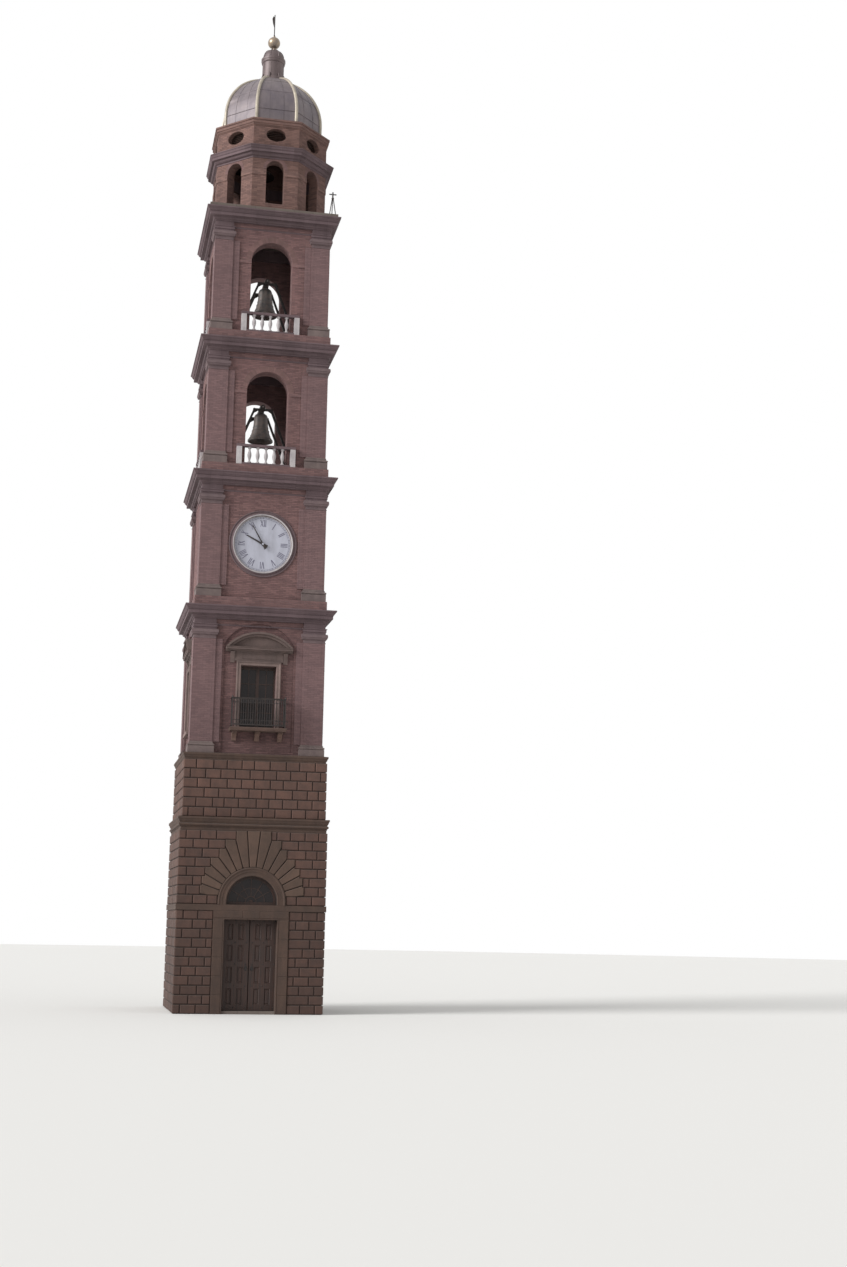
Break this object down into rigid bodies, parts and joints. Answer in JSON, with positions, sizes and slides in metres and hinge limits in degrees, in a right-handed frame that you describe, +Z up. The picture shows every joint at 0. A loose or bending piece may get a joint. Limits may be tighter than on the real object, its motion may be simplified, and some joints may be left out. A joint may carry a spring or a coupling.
{
  "type": "bell tower, one-to-two scale model",
  "caption": "Square brick bell tower on an ashlar base, with an arched portal, a balcony window, a clock, open belfries with swinging bells, an octagonal drum and a ribbed dome.",
  "frame": {"origin": "middle of the base on the ground, on the underside of the hall floor", "axes": "+Z up, -Y out of the front face with the portal and the clock, +X to the right seen from the front"},
  "size_m": [3.172, 3.25, 22.5631],
  "materials": {
    "ashlar": "rough, dark with age",
    "brick": "matt red-brown brick",
    "pilaster_brick": "smooth rubbed brick",
    "light_stone": "dressed stone",
    "white_stone": "pale dressed stone",
    "dial_white": "satin white",
    "iron": "dark paint",
    "bronze": "dark patina",
    "sheet_metal": "dull grey sheet",
    "gilding": "polished",
    "timber": "dark stained boards"
  },
  "bodies": {
    "tower": {"hall_floor": "ashlar", "front_wall_piers": "ashlar", "front_wall_arch": "ashlar", "side_walls": "ashlar", "back_wall": "ashlar", "portal_frame": "light_stone", "portal_arch": "light_stone", "door_hinges": "iron", "windows": "timber", "base_mouldings": "light_stone", "second_storey_walls": "ashlar", "window_storey_floor": "brick", "window_front_back_walls": "brick", "window_side_walls": "brick", "window_surrounds": "light_stone", "balcony": "light_stone", "balcony_parapet": "iron", "window_cornice": "pilaster_brick", "clock_front_back_walls": "brick", "clock_side_walls": "brick", "clock_frame": "light_stone", "clock_dial": "dial_white", "clock_cornice": "pilaster_brick", "corner_pilasters": "pilaster_brick", "pilaster_bases": "light_stone", "pilaster_capitals": "pilaster_brick", "belfry_floors": "brick", "lower_belfry_piers": "brick", "lower_belfry_arches": "brick", "belfry_balusters": "white_stone", "balustrade_rails": "pilaster_brick", "bell_frames": "iron", "lower_belfry_cornice": "pilaster_brick", "upper_belfry_piers": "brick", "upper_belfry_arches": "brick", "top_cornice": "pilaster_brick", "terrace_floor": "light_stone", "drum_walls": "pilaster_brick", "drum_cornice": "pilaster_brick", "drum_attic": "pilaster_brick", "dome": "sheet_metal", "dome_ribs": "sheet_metal", "lantern": "sheet_metal", "finial": "gilding", "finial_rod": "iron", "terrace_mast": "iron"},
    "left_door": {"left_door_leaf": "timber"},
    "right_door": {"right_door_leaf": "timber"},
    "hour_hand": {"hour_hand": "iron"},
    "minute_hand": {"minute_hand": "iron"},
    "lower_bell": {"lower_bell": "bronze"},
    "lower_clapper": {"lower_clapper": "iron"},
    "upper_bell": {"upper_bell": "bronze"},
    "upper_clapper": {"upper_clapper": "iron"}
  },
  "joints": [
    {"name": "left_door_swing", "type": "hinge", "parent": "tower", "child": "left_door", "pos_m": [-0.56, -1.247, 0.06], "axis": [0, 0, 1], "range_deg": [0, 90]},
    {"name": "right_door_swing", "type": "hinge", "parent": "tower", "child": "right_door", "pos_m": [0.56, -1.247, 0.06], "axis": [0, 0, -1], "range_deg": [0, 90]},
    {"name": "minute_hand_turn", "type": "hinge", "parent": "tower", "child": "minute_hand", "pos_m": [0, -1.279, 9.74], "axis": [0, 1, 0], "continuous": true},
    {"name": "hour_hand_turn", "type": "hinge", "parent": "tower", "child": "hour_hand", "pos_m": [0, -1.279, 9.74], "axis": [0, 1, 0], "continuous": true},
    {"name": "lower_bell_swing", "type": "hinge", "parent": "tower", "child": "lower_bell", "pos_m": [0, 0, 13.037], "axis": [0, 1, 0], "range_deg": [-30, 30]},
    {"name": "lower_clapper_swing", "type": "hinge", "parent": "lower_bell", "child": "lower_clapper", "pos_m": [0, 0, 12.903], "axis": [0, 1, 0], "range_deg": [-13, 13]},
    {"name": "upper_bell_swing", "type": "hinge", "parent": "tower", "child": "upper_bell", "pos_m": [0, 0, 15.95], "axis": [0, 1, 0], "range_deg": [-30, 30]},
    {"name": "upper_clapper_swing", "type": "hinge", "parent": "upper_bell", "child": "upper_clapper", "pos_m": [0, 0, 15.816], "axis": [0, 1, 0], "range_deg": [-13, 13]}
  ],
  "couplings": [
    {"joint": "hour_hand_turn", "follows": "minute_hand_turn", "ratio": 0.083333}
  ]
}
